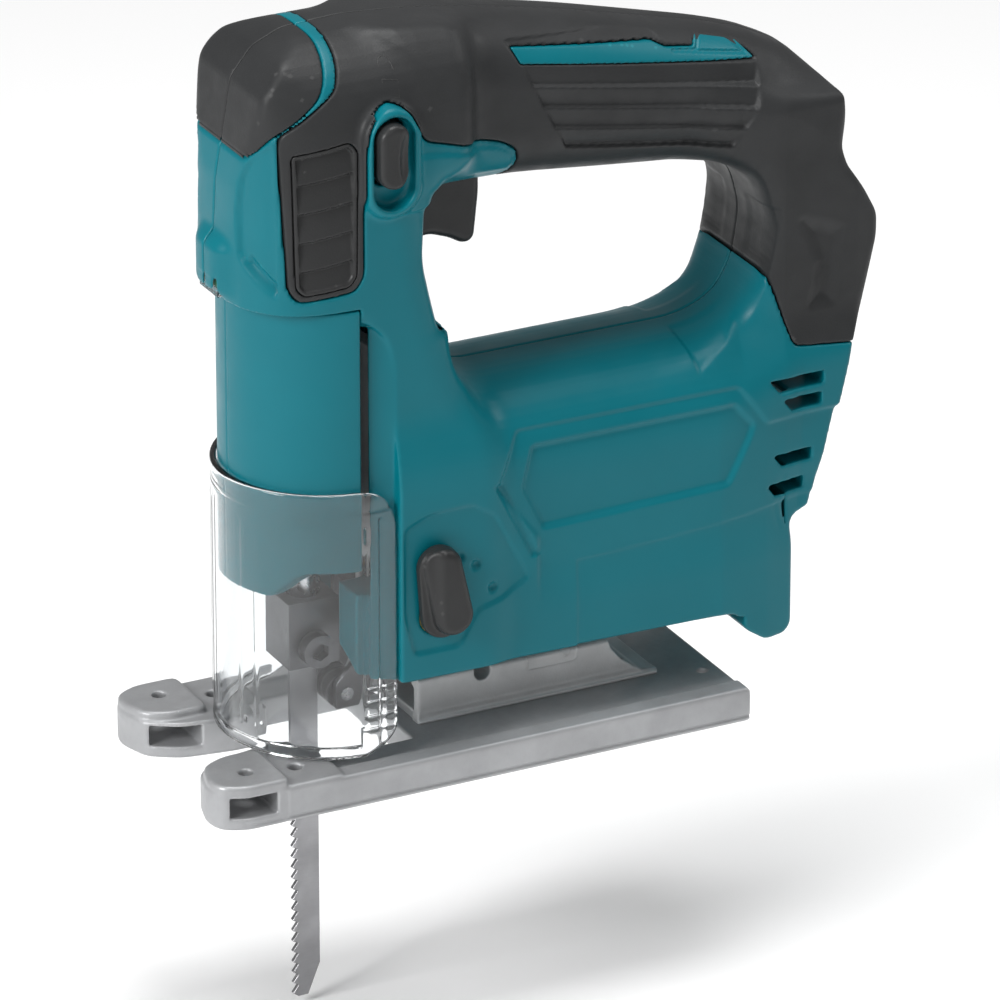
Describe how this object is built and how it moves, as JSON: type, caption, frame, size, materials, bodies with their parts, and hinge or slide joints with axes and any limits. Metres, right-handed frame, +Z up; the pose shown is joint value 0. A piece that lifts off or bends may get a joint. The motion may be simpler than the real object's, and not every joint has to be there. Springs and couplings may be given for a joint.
{
  "type": "jigsaw",
  "caption": "Cordless D-handle jigsaw, bare, with a reciprocating blade, tilting cast base, clear dust cover and orbit selector.",
  "frame": {"origin": "on the plane of the base's sole, on its centre line, at the middle of the blade", "axes": "+X forwards in the cutting direction, +Y to the tool's left, +Z up"},
  "size_m": [0.182, 0.0655, 0.2505],
  "materials": {
    "shell_plastic": "fine moulded texture, satin",
    "soft_grip": "matte soft elastomer",
    "black_plastic": "fine satin",
    "clear_plastic": "clear moulded polycarbonate",
    "cast_alloy": "die cast, matt silver",
    "bright_steel": "ground",
    "dark_steel": "black oxide",
    "blade_steel": "ground, light oil",
    "brass": "plain",
    "board": "solder mask"
  },
  "bodies": {
    "tool": {"housing_left": "shell_plastic", "housing_right": "shell_plastic", "housing_screws": "dark_steel", "soft_grip_left": "soft_grip", "soft_grip_right": "soft_grip", "nose_pad_left": "soft_grip", "nose_pad_right": "soft_grip", "side_pad_left": "soft_grip", "side_pad_right": "soft_grip", "front_cover": "shell_plastic", "motor_can": "bright_steel", "motor_magnets": "dark_steel", "motor_end_bell": "black_plastic", "motor_brushes": "dark_steel", "motor_bearings": "bright_steel", "gear_axle": "bright_steel", "gear_case": "cast_alloy", "fork_pivot_pin": "bright_steel", "plunger_bushings": "brass", "switch_body": "black_plastic", "trigger_spring": "bright_steel", "control_board": "board", "lamp_lens": "clear_plastic", "lamp_board": "board", "terminal_block": "black_plastic", "battery_contacts": "brass", "bevel_washer": "bright_steel", "bevel_bolt": "dark_steel"},
    "armature": {"motor_shaft": "bright_steel", "armature_core": "brass", "commutator": "brass", "cooling_fan": "black_plastic", "pinion": "bright_steel"},
    "crank": {"crank_gear": "bright_steel", "balance_weight": "dark_steel"},
    "plunger": {"plunger": "bright_steel", "crank_pin": "bright_steel", "crank_roller": "bright_steel", "blade_holder": "dark_steel", "holder_bolt": "dark_steel", "blade": "blade_steel"},
    "roller_fork": {"roller_fork": "dark_steel", "roller_pin": "bright_steel"},
    "guide_roller": {"guide_roller": "dark_steel"},
    "selector": {"selector_knob": "black_plastic", "selector_shaft": "brass"},
    "trigger": {"trigger": "black_plastic"},
    "lock_bar": {"lock_bar": "black_plastic"},
    "dust_cover": {"dust_cover": "clear_plastic"},
    "base": {"base_plate": "cast_alloy", "base_bracket": "cast_alloy", "bracket_screws": "dark_steel"},
    "hex_key": {"hex_key": "dark_steel"}
  },
  "joints": [
    {"name": "armature_spin", "type": "hinge", "parent": "tool", "child": "armature", "pos_m": [-0.06, 0, 0.064], "axis": [1, 0, 0], "continuous": true},
    {"name": "crank_spin", "type": "hinge", "parent": "tool", "child": "crank", "pos_m": [-0.015, 0, 0.0864], "axis": [1, 0, 0], "continuous": true},
    {"name": "plunger_stroke", "type": "slide", "parent": "tool", "child": "plunger", "axis": [0, 0, 1], "range_m": [0, 0.018]},
    {"name": "fork_swing", "type": "hinge", "parent": "tool", "child": "roller_fork", "pos_m": [-0.014, 0, 0.0502], "axis": [0, 1, 0], "range_deg": [0, 3]},
    {"name": "roller_spin", "type": "hinge", "parent": "roller_fork", "child": "guide_roller", "pos_m": [-0.0085, 0, 0.017], "axis": [0, 1, 0], "continuous": true},
    {"name": "selector_turn", "type": "hinge", "parent": "tool", "child": "selector", "pos_m": [-0.0225, 0.03, 0.043], "axis": [0, -1, 0], "range_deg": [0, 70]},
    {"name": "trigger_pull", "type": "slide", "parent": "tool", "child": "trigger", "axis": [0, 0, 1], "range_m": [0, 0.004], "stiffness_N_per_m": 600, "springref_m": -0.003, "deforming": ["trigger_spring"]},
    {"name": "lock_slide", "type": "slide", "parent": "tool", "child": "lock_bar", "axis": [0, -1, 0], "range_m": [0, 0.004]},
    {"name": "base_bevel", "type": "hinge", "parent": "tool", "child": "base", "pos_m": [-0.05, 0, 0], "axis": [-1, 0, 0], "range_deg": [0, 45]},
    {"name": "dust_cover_lift", "type": "slide", "parent": "tool", "child": "dust_cover", "axis": [0, 0, 1], "range_m": [0, 0.0305]},
    {"name": "key_draw", "type": "slide", "parent": "base", "child": "hex_key", "axis": [-1, 0, 0], "range_m": [0, 0.05]}
  ],
  "couplings": [
    {"joint": "crank_spin", "follows": "armature_spin", "ratio": -0.16667},
    {"joint": "dust_cover_lift", "follows": "base_bevel", "m_per_rad": 0.0385}
  ]
}
